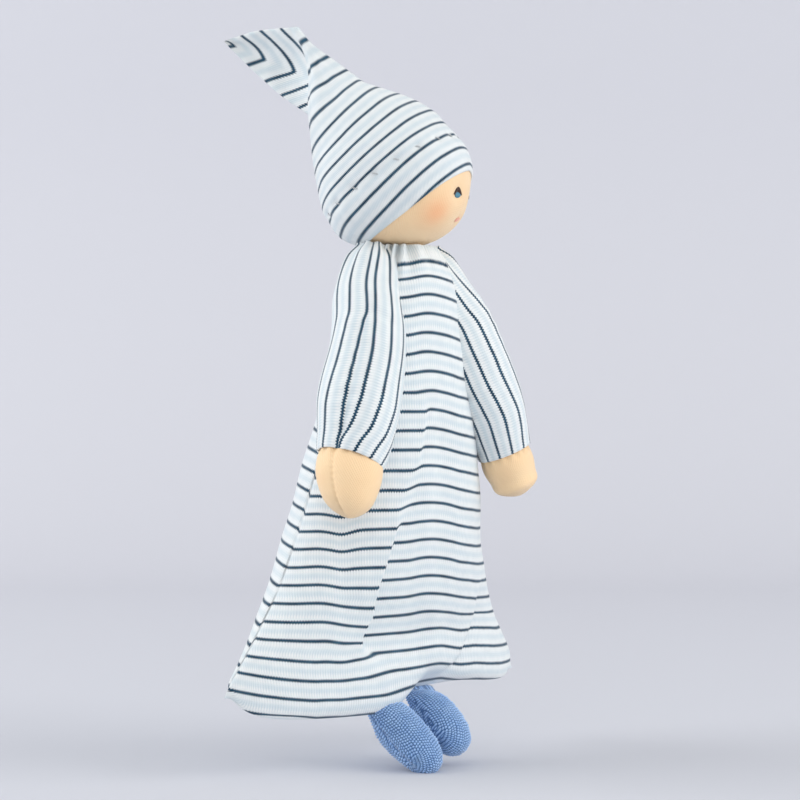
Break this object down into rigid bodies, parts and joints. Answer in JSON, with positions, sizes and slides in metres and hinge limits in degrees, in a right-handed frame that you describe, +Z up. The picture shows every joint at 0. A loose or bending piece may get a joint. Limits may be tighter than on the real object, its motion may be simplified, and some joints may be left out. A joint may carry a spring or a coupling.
{
  "type": "doll comforter",
  "caption": "Soft cloth doll comforter in a striped jersey gown and pointed hood, with knit hands, terry feet and a stitched face.",
  "frame": {"origin": "middle of the chest below the neckline, where a hand closes round the doll and holds it up", "axes": "+Z up through the head, the gown faces -Y, the doll's left side is +X"},
  "size_m": [0.176, 0.1094, 0.326],
  "materials": {
    "striped_jersey": "soft knit",
    "peach_knit": "fine soft knit",
    "blue_terry": "looped terry",
    "wool": "loose wool",
    "gauze": "open tube gauze",
    "sewing_thread": "twisted thread",
    "lash_thread": "embroidery thread",
    "iris_thread": "embroidery thread",
    "mouth_thread": "embroidery thread"
  },
  "bodies": {
    "torso": {"gown_front_panel": "striped_jersey", "gown_back_panel": "striped_jersey", "body_filling": "wool", "neck_gathering_thread": "sewing_thread"},
    "neck": {"neck_stub": "wool"},
    "head": {"head_skin": "peach_knit", "head_gauze": "gauze", "head_filling": "wool", "neck_tie_thread": "sewing_thread", "right_eye_lash": "lash_thread", "right_eye_iris": "iris_thread", "left_eye_lash": "lash_thread", "left_eye_iris": "iris_thread", "mouth_stitch": "mouth_thread", "hood_cover": "striped_jersey", "hood_filling": "wool", "hood_sewing_thread": "sewing_thread"},
    "tail": {"hood_tail": "striped_jersey"},
    "right_arm": {"right_sleeve": "striped_jersey", "right_arm_filling": "wool"},
    "right_hand": {"right_hand_skin": "peach_knit", "right_hand_filling": "wool", "right_hand_tie": "sewing_thread"},
    "right_foot": {"right_foot_sock": "blue_terry", "right_foot_filling": "wool"},
    "left_arm": {"left_sleeve": "striped_jersey", "left_arm_filling": "wool"},
    "left_hand": {"left_hand_skin": "peach_knit", "left_hand_filling": "wool", "left_hand_tie": "sewing_thread"},
    "left_foot": {"left_foot_sock": "blue_terry", "left_foot_filling": "wool"}
  },
  "joints": [
    {"name": "neck_turn", "type": "hinge", "parent": "torso", "child": "neck", "pos_m": [0, 0, 0.03824], "axis": [0, 0, 1], "range_deg": [-60, 20], "stiffness_Nm_per_rad": 0.05},
    {"name": "head_nod", "type": "hinge", "parent": "neck", "child": "head", "pos_m": [0, 0, 0.03824], "axis": [0.848, 0.5299, 0], "range_deg": [-6, 12], "stiffness_Nm_per_rad": 0.1},
    {"name": "hood_tail_fold", "type": "hinge", "parent": "head", "child": "tail", "pos_m": [-0.0243, 0.03889, 0.11615], "axis": [-0.1359, 0.2176, 0.9665], "range_deg": [-12, 40], "stiffness_Nm_per_rad": 0.002},
    {"name": "right_arm_lift", "type": "hinge", "parent": "torso", "child": "right_arm", "pos_m": [-0.011, 0, 0.03874], "axis": [0, 1, 0], "range_deg": [0, 28]},
    {"name": "right_wrist_flex", "type": "hinge", "parent": "right_arm", "child": "right_hand", "pos_m": [-0.04763, -0.01842, -0.05395], "axis": [-0.652, -0.6638, 0.3665], "range_deg": [-18, 18], "stiffness_Nm_per_rad": 0.004},
    {"name": "right_foot_swing", "type": "hinge", "parent": "torso", "child": "right_foot", "pos_m": [-0.01384, 0.00075, -0.16026], "axis": [1, 0, 0], "range_deg": [-15, 45], "stiffness_Nm_per_rad": 0.004},
    {"name": "left_arm_lift", "type": "hinge", "parent": "torso", "child": "left_arm", "pos_m": [0.011, 0, 0.03874], "axis": [0, -1, 0], "range_deg": [0, 28]},
    {"name": "left_wrist_flex", "type": "hinge", "parent": "left_arm", "child": "left_hand", "pos_m": [0.04763, -0.01842, -0.05395], "axis": [0.652, -0.6638, 0.3665], "range_deg": [-18, 18], "stiffness_Nm_per_rad": 0.004},
    {"name": "left_foot_swing", "type": "hinge", "parent": "torso", "child": "left_foot", "pos_m": [0.01384, 0.00075, -0.16026], "axis": [1, 0, 0], "range_deg": [-15, 45], "stiffness_Nm_per_rad": 0.004}
  ]
}
